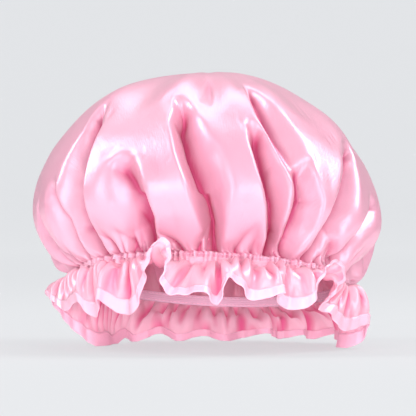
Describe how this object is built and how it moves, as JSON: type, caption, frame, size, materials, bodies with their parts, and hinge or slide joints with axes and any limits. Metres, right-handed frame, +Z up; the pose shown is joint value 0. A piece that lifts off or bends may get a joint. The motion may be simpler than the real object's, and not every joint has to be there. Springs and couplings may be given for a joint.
{
  "type": "shower cap",
  "caption": "Puffed satin shower cap with a waterproof film inside, drawn in by an elastic band above a hemmed ruffle, standing on its ruffle and leaning back.",
  "frame": {"origin": "on the surface that the cap stands on, under the middle of its box", "axes": "+Z up, +Y towards the back, where the cap leans, and +X to the right of someone who looks at its front and into its mouth"},
  "size_m": [0.262, 0.2706, 0.2131],
  "materials": {
    "satin": "glossy pink polyester satin",
    "satin_hem": "the same satin folded double, paler where it is pressed",
    "film": "thin soft waterproof film, slightly glossy",
    "elastic": "woven elastic, matt, greyish pink"
  },
  "bodies": {
    "root": {"crown_satin": "satin", "crown_film": "film", "elastic_band": "elastic", "ruffle_satin": "satin", "ruffle_hem": "satin_hem"}
  },
  "joints": []
}
